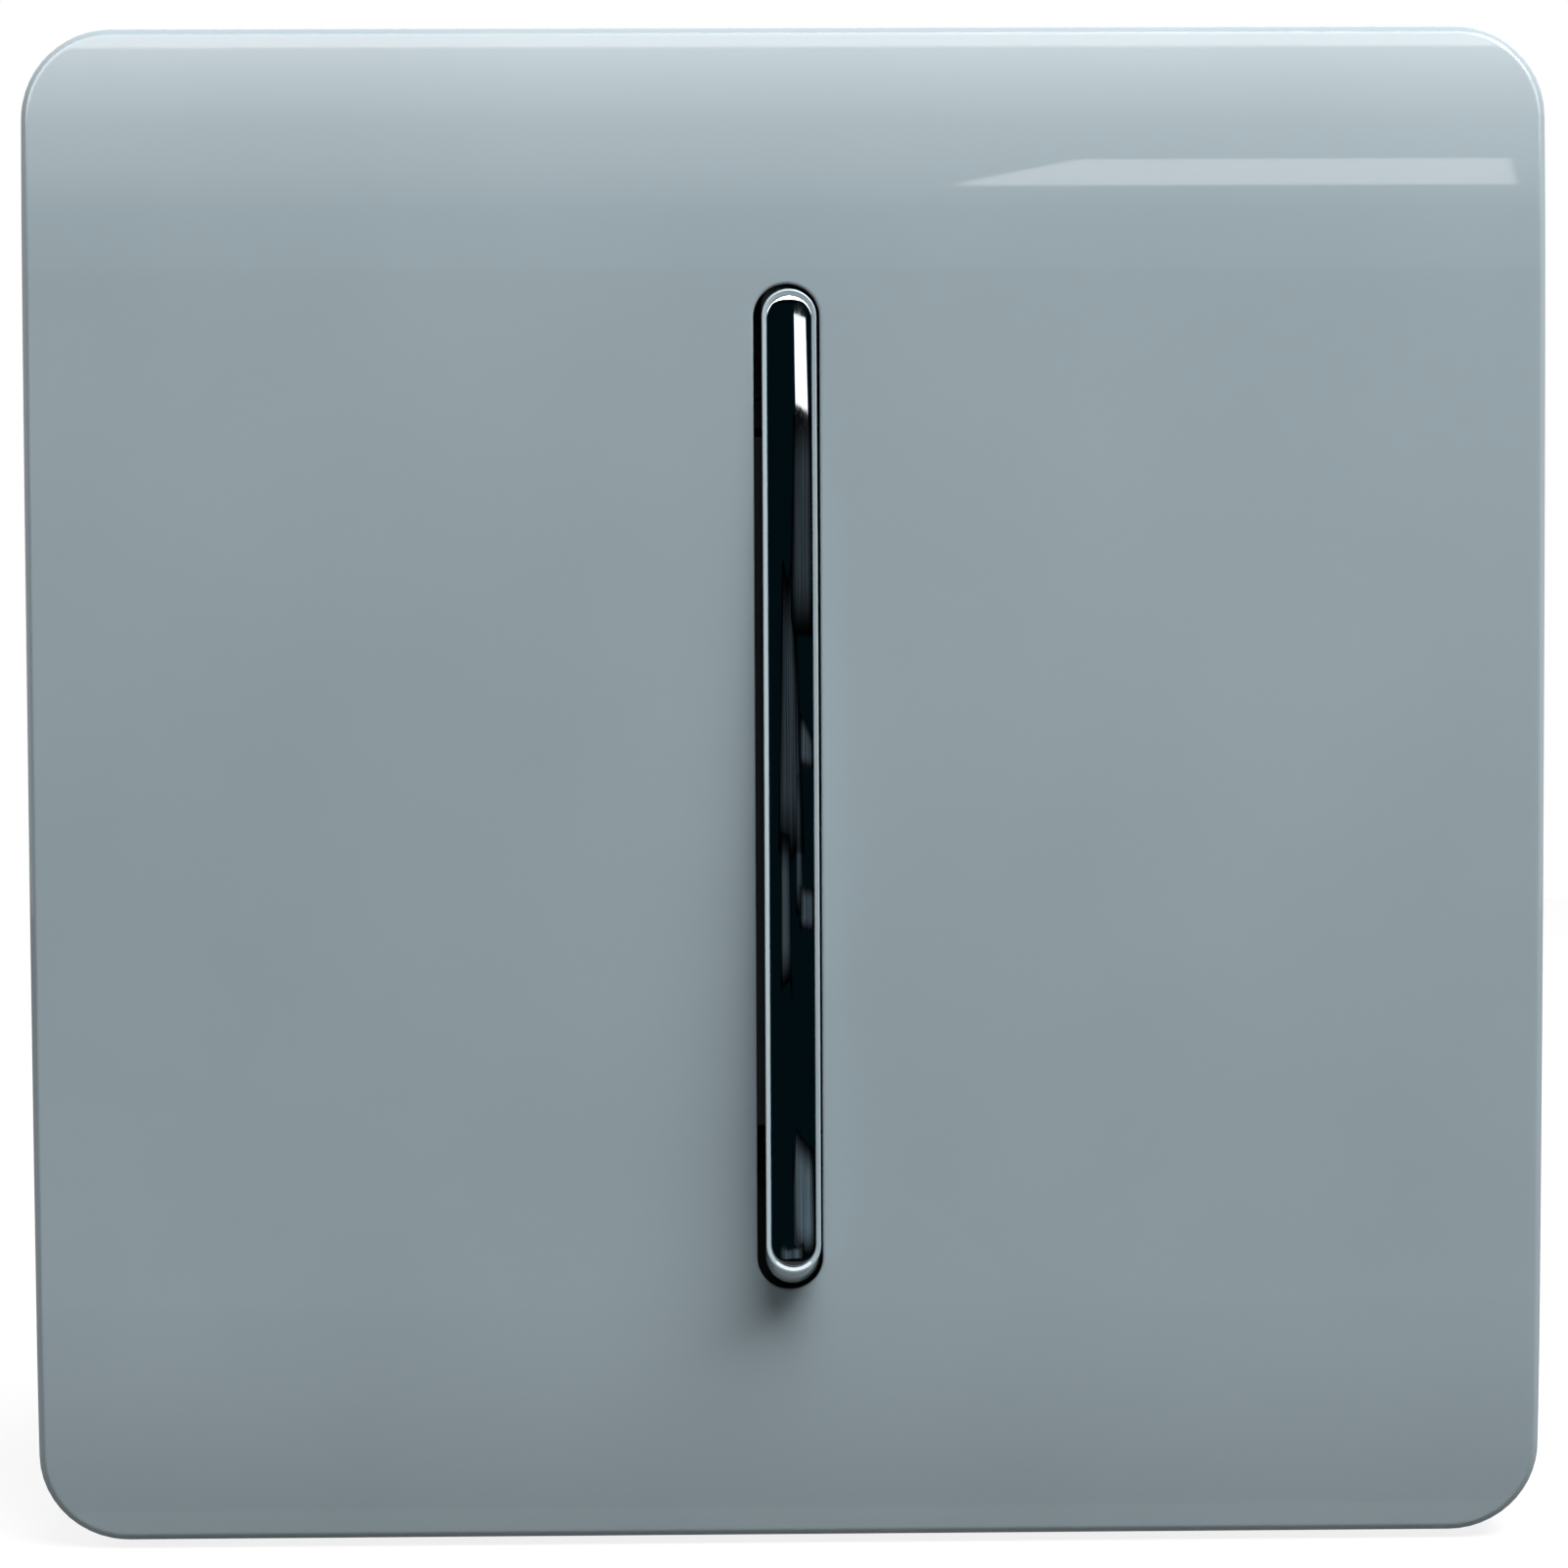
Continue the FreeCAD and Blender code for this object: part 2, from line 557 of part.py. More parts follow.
def rocker_trim():
    """Chromed strip in the bar's face, slightly domed across its width."""
    half = BAR_WIDTH / 2 - BAR_RIM
    sag = TRIM_DOME_R - math.sqrt(TRIM_DOME_R ** 2 - half ** 2)
    left = FreeCAD.Vector(-half, BAR_FACE_Y, 0)
    right = FreeCAD.Vector(half, BAR_FACE_Y, 0)
    dome = Part.Arc(left, FreeCAD.Vector(0, BAR_FACE_Y - sag, 0), right).toShape()
    rear_left = FreeCAD.Vector(-half, BAR_REAR_Y, 0)
    rear_right = FreeCAD.Vector(half, BAR_REAR_Y, 0)
    outline = Part.Wire([dome] + Part.makePolygon([right, rear_right, rear_left, left]).Edges)
    axis = FreeCAD.Vector(0, BAR_FACE_Y + CROWN_R, 0)
    reach_deg = math.degrees(BAR_END_R / CROWN_R)
    face = Part.Face(outline)
    face.rotate(axis, RIGHT, -reach_deg)
    domed = face.revolve(axis, RIGHT, 2 * reach_deg)
    return rocker_pocket().common(domed)


def rocker_dolly():
    """Moulding under the bar: spine, hub, two trunnions and the plunger's tube."""
    pivot = FreeCAD.Vector(-HUB_WIDTH / 2, PIVOT_Y, 0)
    hub = Part.makeCylinder(HUB_R, HUB_WIDTH, pivot, RIGHT)
    reach = HUB_WIDTH + 2 * TRUNNION_LENGTH
    axle_start = FreeCAD.Vector(-reach / 2, PIVOT_Y, 0)
    axle = Part.makeCylinder(TRUNNION_R, reach, axle_start, RIGHT)
    half = SPINE_LENGTH / 2
    spine = side_profile([
        (BAR_REAR_Y, -half), (BAR_REAR_Y, half), (SPINE_END_Y, half),
        (SPINE_ROOT_Y, SPINE_ROOT_HALF), (SPINE_ROOT_Y, -SPINE_ROOT_HALF), (SPINE_END_Y, -half),
    ], SPINE_WIDTH / 2)
    tube = rod(TUBE_R, PIVOT_Y, TUBE_MOUTH_Y, 0, 0)
    bore = rod(TUBE_BORE_R, SPRING_SEAT_Y, FAR, 0, 0)
    return spine.fuse([hub, axle, tube]).cut([bore] + tangs(TANG_FIT)).removeSplitter()


def plunger():
    """Plunger that slides in the dolly's tube, with a half-round ridge for a nose."""
    shank = rod(PLUNGER_R, PLUNGER_TAIL_Y, PLUNGER_SHOULDER_Y, 0, 0)
    half = PLUNGER_NOSE_R
    neck = box(-PLUNGER_R, PLUNGER_R, PLUNGER_SHOULDER_Y, NOSE_Y, -half, half)
    ridge_start = FreeCAD.Vector(-PLUNGER_R, NOSE_Y, 0)
    ridge = Part.makeCylinder(PLUNGER_NOSE_R, 2 * PLUNGER_R, ridge_start, RIGHT)
    envelope = rod(PLUNGER_R, PLUNGER_TAIL_Y, NOSE_Y + PLUNGER_NOSE_R, 0, 0)
    return envelope.common(shank.fuse([neck, ridge])).removeSplitter()


def plunger_spring():
    """Compression spring between the tube's seat and the plunger's tail."""
    length = PLUNGER_TAIL_Y - SPRING_SEAT_Y - 2 * SPRING_WIRE_R
    helix = Part.makeHelix(length / SPRING_TURNS, length, SPRING_R)
    corners = []
    for side in range(SPRING_WIRE_SIDES + 1):
        turn = 2 * math.pi * side / SPRING_WIRE_SIDES
        x = SPRING_R + SPRING_WIRE_R * math.cos(turn)
        corners.append(FreeCAD.Vector(x, 0, SPRING_WIRE_R * math.sin(turn)))
    section = Part.makePolygon(corners)
    coil = Part.Wire(helix.Edges).makePipeShell([section], True, True)
    coil.rotate(FreeCAD.Vector(0, 0, 0), RIGHT, -90)
    coil.translate(FreeCAD.Vector(0, SPRING_SEAT_Y + SPRING_WIRE_R, 0))
    return coil


def trough_radius():
    """Front radius of the blade's trough, so that the nose keeps the same distance all the way.

    The nose's centre moves by (reach - ratio * offset) a along the blade and by the bracket below
    times a squared away from it, for a rocker angle a, which is an arc of this radius.
    """
    ratio = CONTACT_RATIO
    offset = NOSE_TO_CONTACT_AXIS
    along = PLUNGER_REACH - ratio * offset
    away = PLUNGER_REACH / 2 - offset * ratio ** 2 / 2 + ratio * PLUNGER_REACH
    return along ** 2 / (2 * away) + PLUNGER_NOSE_R + NOSE_CLEARANCE


def blade_wing_y():
    """Front face of the blade's flat wings, measured from the blade's axis."""
    bottom = PLUNGER_NOSE_R + NOSE_CLEARANCE - NOSE_TO_CONTACT_AXIS
    return bottom - trough_radius() * (1 - math.cos(math.radians(TROUGH_HALF_DEG)))


def moving_contact():
    """Sprung-bronze blade: flat wings, a trough in the middle and an ear on each side."""
    radius = trough_radius()
    front = blade_wing_y()
    rear = front + BLADE_THICK
    centre = PLUNGER_NOSE_R + NOSE_CLEARANCE - NOSE_TO_CONTACT_AXIS - radius
    half = BLADE_LENGTH / 2
    front_half = math.sqrt(radius ** 2 - (front - centre) ** 2)
    outer = radius + BLADE_THICK
    rear_half = math.sqrt(outer ** 2 - (rear - centre) ** 2)
    x = -BLADE_WIDTH / 2

    def at(y, z):
        return FreeCAD.Vector(x, y, z)

    edges = [
        Part.LineSegment(at(front, -half), at(front, -front_half)).toShape(),
        Part.Arc(at(front, -front_half), at(centre + radius, 0), at(front, front_half)).toShape(),
        Part.LineSegment(at(front, front_half), at(front, half)).toShape(),
        Part.LineSegment(at(front, half), at(rear, half)).toShape(),
        Part.LineSegment(at(rear, half), at(rear, rear_half)).toShape(),
        Part.Arc(at(rear, rear_half), at(centre + outer, 0), at(rear, -rear_half)).toShape(),
        Part.LineSegment(at(rear, -rear_half), at(rear, -half)).toShape(),
        Part.LineSegment(at(rear, -half), at(front, -half)).toShape(),
    ]
    blade = Part.Face(Part.Wire(edges)).extrude(RIGHT * BLADE_WIDTH)
    trough = Part.makeCylinder(radius, BLADE_WIDTH, FreeCAD.Vector(x, centre, 0), RIGHT)
    nick = PLUNGER_R + MOULDING_FIT
    ears = []
    for side in (-1, 1):
        x0, x1 = sorted((side * nick, side * (BLADE_WIDTH / 2 + EAR_LENGTH)))
        ears.append(Part.makeCylinder(EAR_R, x1 - x0, FreeCAD.Vector(x0, 0, 0), RIGHT).cut(trough))
    blade = blade.fuse(ears).removeSplitter()
    blade.translate(INTO_WALL * CONTACT_AXIS_Y)
    return blade


def moving_contact_tips():
    """Two domed silver rivets on the back of the blade."""
    seat_y = CONTACT_AXIS_Y + blade_wing_y() + BLADE_THICK
    tips = []
    for z in (-TIP_OFFSET, TIP_OFFSET):
        disc = rod(TIP_R, seat_y, seat_y + TIP_HEIGHT, 0, z)
        dome_centre = FreeCAD.Vector(0, seat_y + TIP_HEIGHT - TIP_DOME_R, z)
        tips.append(disc.common(Part.makeSphere(TIP_DOME_R, dome_centre)))
    return tips


def dome_place():
    """Centre of a rivet's dome once the blade has closed, measured from the blade's axis."""
    turn = math.radians(CONTACT_TILT_DEG)
    y = blade_wing_y() + BLADE_THICK + TIP_HEIGHT - TIP_DOME_R
    closed_y = y * math.cos(turn) + TIP_OFFSET * math.sin(turn)
    closed_z = TIP_OFFSET * math.cos(turn) - y * math.sin(turn)
    return closed_y, closed_z


def fixed_tip_front_y():
    """Front face of the fixed rivets, just clear of a closed moving rivet."""
    return CONTACT_AXIS_Y + dome_place()[0] + TIP_DOME_R + CLOSED_GAP


def fixed_tip_z():
    """Height of the fixed rivets, opposite a closed moving rivet."""
    return dome_place()[1]


def fixed_contact(side):
    """Bent strip from a fixed rivet to the side of its terminal block."""
    front_y = fixed_tip_front_y() + FIXED_TIP_HEIGHT
    rear_y = front_y + STRIP_THICK
    z = side * fixed_tip_z()
    z0 = z - STRIP_WIDTH / 2
    z1 = z + STRIP_WIDTH / 2
    strip = box(-BLOCK_INNER_X, STRIP_OVERHANG, front_y, rear_y, z0, z1)
    tab = box(-BLOCK_INNER_X, -BLOCK_INNER_X + STRIP_THICK, TAB_FRONT_Y, front_y, z0, z1)
    return strip.fuse(tab).removeSplitter()


def fixed_contact_tips():
    """Two flat silver rivets on the fixed strips."""
    front_y = fixed_tip_front_y()
    rear_y = front_y + FIXED_TIP_HEIGHT
    return [rod(FIXED_TIP_R, front_y, rear_y, 0, side * fixed_tip_z()) for side in (-1, 1)]


def common_bracket():
    """Fork that carries the blade's ears, with a bent leg to the common terminal."""
    front_y = fixed_tip_front_y() + FIXED_TIP_HEIGHT
    rear_y = front_y + STRIP_THICK
    half = FORK_LENGTH / 2
    inner = FORK_INNER / 2
    outer = inner + STRIP_THICK
    top_z = fixed_tip_z() + STRIP_WIDTH / 2
    pieces = [
        box(-outer, BLOCK_INNER_X, front_y, rear_y, -half, half),
        box(BLOCK_INNER_X - LEG_WIDTH, BLOCK_INNER_X, front_y, rear_y, -half, top_z),
        box(BLOCK_INNER_X - STRIP_THICK, BLOCK_INNER_X, TAB_FRONT_Y, front_y,
            top_z - STRIP_WIDTH, top_z),
    ]
    arm_front = CONTACT_AXIS_Y - FORK_HEIGHT
    arms = []
    for side in (-1, 1):
        x0, x1 = sorted((side * inner, side * outer))
        arm = box(x0, x1, arm_front, front_y, -half, half)
        seat_r = EAR_R + EAR_FIT
        seat = Part.makeCylinder(seat_r, STRIP_THICK, FreeCAD.Vector(x0, CONTACT_AXIS_Y, 0), RIGHT)
        throat = box(x0, x1, arm_front - OVERSHOOT, CONTACT_AXIS_Y, -seat_r, seat_r)
        arms.append(arm.cut([seat, throat]))
    return pieces[0].fuse(pieces[1:] + arms).removeSplitter()


def terminal_block(x, z):
    """Brass block with a wire bore along z and a tapped hole from behind."""
    half_x = BLOCK_WIDTH / 2
    half_z = BLOCK_LENGTH / 2
    block = box(x - half_x, x + half_x, BLOCK_FRONT_Y, BLOCK_REAR_Y, z - half_z, z + half_z)
    bore = Part.makeCylinder(WIRE_BORE_R, BLOCK_LENGTH, FreeCAD.Vector(x, WIRE_BORE_Y, z - half_z), UP)
    tapped = rod(TERMINAL_SCREW_R + TERMINAL_SCREW_FIT, WIRE_BORE_Y, FAR, x, z)
    return block.cut([bore, tapped]).removeSplitter()


def screw_slot(radius, rear_y, x, z):
    """A driver slot across the rear of a screw."""
    half = SCREW_SLOT_WIDTH / 2
    return box(x - radius, x + radius, rear_y - SCREW_SLOT_DEPTH, rear_y, z - half, z + half)


def terminal_screw(x, z):
    """Slotted headless screw, run back so that the wire bore is clear."""
    tip_y = WIRE_BORE_Y + WIRE_BORE_R + TERMINAL_SCREW_TIP_GAP
    rear_y = tip_y + TERMINAL_SCREW_LENGTH
    screw = rod(TERMINAL_SCREW_R, tip_y, rear_y, x, z)
    return screw.cut(screw_slot(TERMINAL_SCREW_R, rear_y, x, z))


def cradle_screws():
    """Two self-tapping screws from behind through housing and cradle into the frame."""
    rear_y = housing_rear_y()
    head_y = rear_y - BODY_SCREW_HEAD_HEIGHT
    screws = []
    for x, z in body_screw_places():
        shank = rod(BODY_SCREW_R, BODY_SCREW_TIP_Y, head_y, x, z)
        head = rod(BODY_SCREW_HEAD_R, head_y, rear_y, x, z)
        slot = screw_slot(BODY_SCREW_HEAD_R, rear_y, x, z)
        screws.append(shank.fuse(head).cut(slot).removeSplitter())
    return screws


def rocker_at_rest(shape):
    """Put a rocker piece, drawn about the pivot's plane, in its bearing and turn it to rest."""
    shape.translate(FreeCAD.Vector(SIDE_FLOAT, 0, PIVOT_Z))
    shape.rotate(FreeCAD.Vector(0, PIVOT_Y, PIVOT_Z), RIGHT, -TILT_DEG)
    return shape


def contact_at_rest(shape):
    """Turn a piece of the moving contact about its ears to rest, lower contact closed."""
    shape.rotate(FreeCAD.Vector(0, CONTACT_AXIS_Y, 0), RIGHT, CONTACT_TILT_DEG)
    return shape


def write(name, solids):
    """Write one named node and print what it holds."""
    shape = Part.makeCompound(solids) if len(solids) > 1 else solids[0]
    count = len(shape.Solids)
    print(f"{name}: {count} solid(s), {shape.Volume:.1f} mm3, valid {shape.isValid()}")
    shape.exportStep(f"parts/{name}.step")


def main():
    """Build every node of the switch."""
    os.makedirs("parts", exist_ok=True)
    write("front_plate", [front_plate()])
    write("mounting_frame", [mounting_frame()])
    write("mechanism_cradle", [mechanism_cradle()])
    write("mechanism_housing", [mechanism_housing()])
    write("rocker_bar", [rocker_at_rest(rocker_bar())])
    write("rocker_trim", [rocker_at_rest(rocker_trim())])
    write("rocker_dolly", [rocker_at_rest(rocker_dolly())])
    write("plunger", [rocker_at_rest(plunger())])
    write("plunger_spring", [rocker_at_rest(plunger_spring())])
    write("moving_contact", [contact_at_rest(moving_contact())])
    write("moving_contact_tips", [contact_at_rest(tip) for tip in moving_contact_tips()])
    write("common_bracket", [common_bracket()])
    write("fixed_contact_l1", [fixed_contact(1)])
    write("fixed_contact_l2", [fixed_contact(-1)])
    write("fixed_contact_tips", fixed_contact_tips())
    for name, place in terminal_places().items():
        write(f"terminal_block_{name}", [terminal_block(*place)])
        write(f"terminal_screw_{name}", [terminal_screw(*place)])
    write("cradle_screws", cradle_screws())


main()
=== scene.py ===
import math

import bpy
from mathutils import Matrix, Vector

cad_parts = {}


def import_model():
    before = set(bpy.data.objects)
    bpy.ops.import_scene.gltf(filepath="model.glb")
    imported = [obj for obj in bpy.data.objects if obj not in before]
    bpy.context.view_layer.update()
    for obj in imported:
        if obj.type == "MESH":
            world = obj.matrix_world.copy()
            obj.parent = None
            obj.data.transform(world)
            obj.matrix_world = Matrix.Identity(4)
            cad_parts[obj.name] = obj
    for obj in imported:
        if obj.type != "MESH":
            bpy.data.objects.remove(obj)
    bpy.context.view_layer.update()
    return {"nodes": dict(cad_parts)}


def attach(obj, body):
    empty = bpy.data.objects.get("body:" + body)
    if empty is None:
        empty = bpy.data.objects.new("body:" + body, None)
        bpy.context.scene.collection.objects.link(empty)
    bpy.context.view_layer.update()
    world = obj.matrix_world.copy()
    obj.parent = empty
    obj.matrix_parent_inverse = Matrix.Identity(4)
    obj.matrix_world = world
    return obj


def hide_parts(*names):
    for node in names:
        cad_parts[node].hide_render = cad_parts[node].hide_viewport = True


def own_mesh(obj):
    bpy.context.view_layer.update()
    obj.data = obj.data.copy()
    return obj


MM = 0.001
WHITE = (1.0, 1.0, 1.0, 1.0)
COOL = (0.62, 0.86, 1.0, 1.0)
DEEP_BLUE = (0.10, 0.70, 1.0, 1.0)

# Camera: fitted to the plate's outline and the slot in the photograph
PHOTO_WIDTH = 1600
FOCAL_PX = 4026
SENSOR_MM = 36.0
CAMERA_PLACE = Vector((-3.7, -228.0, 11.4)) * MM
CAMERA_YAW_DEG = 0.90
CAMERA_PITCH_DEG = 2.87
CAMERA_ROLL_DEG = -0.25
CAMERA_CLIP_START = 10 * MM

# The switch in millimetres, as its solids have it, with the bar and trim drawn upright about the pivot
PLATE_HEIGHT = 8.0
SLOT_LENGTH = 56.4
SLOT_WIDTH = 3.7
BAR_SIDE_GAP = 0.335
BAR_END_GAP = 0.53
BAR_PROUD = 1.6
BAR_REAR_Y = -4.7
BAR_RIM = 0.24
BAR_END_RIM = 0.32
FACE_CROWN_R = 800.0
TRIM_DOME_R = 6.0
TRIM_THICK = 1.0
PIVOT = Vector((0.15, 0.0, 0.1))
REST_TILT_DEG = 3.3
FACE_Y = -(PLATE_HEIGHT + BAR_PROUD)
BAR_HALF_WIDTH = SLOT_WIDTH / 2 - BAR_SIDE_GAP
BAR_END_R = round(math.hypot(SLOT_LENGTH / 2 - BAR_END_GAP, PLATE_HEIGHT), 3)
REST_TURN = Matrix.Rotation(-math.radians(REST_TILT_DEG), 3, "X")

# Fine edges of the bar and trim in millimetres, which only the meshes here have
BAR_EDGE_R = 0.06
BAR_BEVEL_WIDTH = 0.17
BAR_BEVEL_DROP = 0.10
TRIM_EDGE_R = 0.06
TRIM_ROLL = 0.4
TRIM_CENTRE_GAP = 0.002

# Fineness of those meshes: steps round an end, along a side, round an edge and across the dome
ARC_STEPS = 24
RUN_STEPS = 40
EDGE_STEPS = 4
CROSS_STEPS = 16

# Where loops lie along the bar's wall and bevel: pairs close together keep an edge crisp
WALL_SHARES = (0.0, 0.01, 0.33, 0.66, 0.99)
BEVEL_SHARES = (0.0, 0.08, 0.92, 1.0)

# Gloss moulding of plate and bar: screen colours, waves per millimetre, roughness and relief
PLATE_GREYS = ((136, 149, 155), (140, 153, 159))
PLATE_FLOW = 0.05
PLATE_POLISH = 0.8
PLATE_ROUGHNESS = (0.02, 0.04)
PLATE_PEEL = 0.35
PLATE_PEEL_MM = 0.0006
PLATE_EDGE_MM = 0.3
PLASTIC_IOR = 1.5

# Chrome plating: screen colours, waves per millimetre on each axis, roughness and relief
CHROME_GREYS = ((196, 199, 204), (206, 209, 213))
CHROME_STREAKS = (14.0, 14.0, 0.25)
CHROME_ROUGHNESS = (0.012, 0.03)
CHROME_RIPPLE = (2.0, 2.0, 0.12)
CHROME_RIPPLE_MM = 0.0004

# Satin mouldings: the two screen colours that each varies between, over one grain
SATIN_CLOUD = 0.15
SATIN_GRAIN_MM = 0.25
SATIN_ROUGHNESS = (0.38, 0.55)
SATIN_RELIEF_MM = 0.006
SATIN_EDGE_MM = 0.12
MOULDINGS = {
    "frame_moulding": ((40, 41, 43), (48, 49, 51)),
    "cradle_moulding": ((40, 41, 43), (48, 49, 51)),
    "housing_moulding": ((216, 216, 213), (220, 220, 217)),
    "dolly_moulding": ((36, 37, 39), (44, 45, 47)),
    "plunger_nylon": ((196, 186, 160), (206, 197, 173)),
}

# Metals: two screen colours, grain waves per millimetre on each axis, roughness and relief depth
METAL_ROUGHNESS_SPAN = (-0.06, 0.08)
METAL_EDGE_MM = 0.05
METALS = {
    "stamped_brass": ((186, 146, 78), (208, 170, 98), (6.0, 6.0, 0.6), 0.28, 0.002),
    "contact_silver_alloy": ((196, 194, 190), (214, 212, 207), (4.0, 4.0, 4.0), 0.30, 0.002),
    "zinc_plated_steel": ((172, 174, 178), (196, 198, 201), (5.0, 1.5, 5.0), 0.32, 0.003),
    "spring_wire": ((150, 152, 156), (182, 184, 188), (3.0, 3.0, 3.0), 0.25, 0.002),
    "rolled_bronze": ((190, 128, 84), (210, 148, 100), (8.0, 8.0, 0.5), 0.26, 0.002),
}

# Which moulding or metal each piece is made of
MADE_OF = {
    "mounting_frame": "frame_moulding",
    "mechanism_cradle": "cradle_moulding",
    "mechanism_housing": "housing_moulding",
    "rocker_dolly": "dolly_moulding",
    "plunger": "plunger_nylon",
    "plunger_spring": "spring_wire",
    "moving_contact": "rolled_bronze",
    "moving_contact_tips": "contact_silver_alloy",
    "fixed_contact_tips": "contact_silver_alloy",
    "common_bracket": "stamped_brass",
    "fixed_contact_l1": "stamped_brass",
    "fixed_contact_l2": "stamped_brass",
    "terminal_block_common": "stamped_brass",
    "terminal_block_l1": "stamped_brass",
    "terminal_block_l2": "stamped_brass",
    "terminal_screw_common": "zinc_plated_steel",
    "terminal_screw_l1": "zinc_plated_steel",
    "terminal_screw_l2": "zinc_plated_steel",
    "cradle_screws": "zinc_plated_steel",
}

# Floor in millimetres: its paint is darker for bounced light than for the camera
FLOOR_Z = -43.1
FLOOR_FRONT_Y = -57
FLOOR_REACH = 450
FLOOR_PAINT_UNSEEN = 0.20
FLOOR_PAINT_SEEN = 0.90
FLOOR_GLOW_SHARE = 0.85
FLOOR_ROUGHNESS = 0.9
FLOOR_SPECULAR = 0.1

# Even fill from all round, and lamps: place, aim, then width and height in millimetres, and watts
FILL_LEVEL = 0.05
LAMPS = {
    "overhead_key": ((200, -260, 500), (0, 0, 0), (600, 350), 9.5),
    "housing_key": ((200, -260, 500), (0, 0, 0), (600, 350), 5.0),
    "front_fill": ((150, -900, 200), (0, 0, 0), (800, 800), 0.25),
    "rocker_fill": ((-250, -450, -220), (0, 0, -20), (300, 300), 1.6),
    "back_fill": ((-700, 450, 300), (0, 0, 0), (800, 800), 7.0),
}

# Cards that only gloss sees, on planes a little apart: left, right, lower and upper edge in millimetres
SKY_PLANE_Y = -320
STRIP_PLANE_Y = -319
MIRROR_PLANE_Y = -318
FLAG_PLANE_Y = -600
DARK_FLAG = (-2500, 2500, -2500, 230)
DARK_FLAG_LEVEL = 0.009
CEILING_EDGE = (-700, 700, 220, 900)
CEILING_LEVEL = 9.0
FLOOR_FLAG_HALF_WIDTH = 150
FLOOR_FLAG_REAR_Y = -9
FLOOR_FLAG_LIFT = 0.3
FLOOR_FLAG_LEVEL = 0.06

# Graded card: it brightens from its lower edge up to a height, along a curve through these places
SKY_LOW_Z = 112
SKY_FULL_Z = 260
SKY_CARD = (-700, 700, SKY_LOW_Z, 420)
SKY_CURVE = ((0.1, 0.07), (0.4, 0.20))
SKY_LEVEL = 9.0

# Bright bar that the plate mirrors: corners across and up in millimetres
WINDOW_STRIP = [(28, 125), (106, 125), (106, 142), (46, 142)]
WINDOW_STRIP_LEVEL = 4.3

# What the chromed face mirrors: corners across and up the face in millimetres, and brightness
WINDOW = [(0.33, 20.9), (1.02, 20.3), (0.92, 25.6), (0.27, 25.8)]
WINDOW_LEVEL = 1.8
MIRRORED = {
    "under_window": ([(0.00, 7.9), (1.22, 7.9), (1.22, 20.4), (0.20, 20.4)], 0.065),
    "long_wedge": ([(-0.75, -4.0), (0.70, -4.0), (0.30, 9.0), (-0.45, 12.4)], 0.06),
    "side_patch": ([(0.40, 0.9), (1.20, 0.6), (1.20, 2.4), (0.50, 3.8)], 0.10),
    "left_loop": ([(-0.66, -11.6), (-0.05, -11.0), (-0.10, -3.0), (-0.62, -2.8)], 0.08),
    "thin_line": ([(0.20, -7.5), (0.62, -7.5), (0.50, 0.3), (0.25, 0.3)], 0.08),
    "lower_patch": ([(0.40, -8.2), (1.22, -8.4), (1.22, -6.0), (0.40, -5.8)], 0.10),
    "foot_glow": ([(0.02, -26.0), (1.22, -26.2), (1.12, -20.4), (-0.10, -18.8)], 0.17),
    "foot_band": ([(-0.85, -26.6), (0.60, -26.6), (0.55, -25.5), (-0.80, -25.6)], 0.12),
}
MIRRORED_STREAKS = (0.12, 0.12, 0.02)
STREAK_SPAN = (0.4, 1.6)
EDGE_FADE = 0.3
SHEET_MIDDLE = 0.5


def linear(value):
    """One 0 to 255 screen value as linear light."""
    share = value / 255
    return share / 12.92 if share <= 0.04045 else ((share + 0.055) / 1.055) ** 2.4


def colour(screen):
    """A red, green and blue screen colour as a linear RGBA."""
    return (*(linear(value) for value in screen), 1.0)


def even(waves):
    """The same number of waves per millimetre on every axis."""
    return (waves, waves, waves)


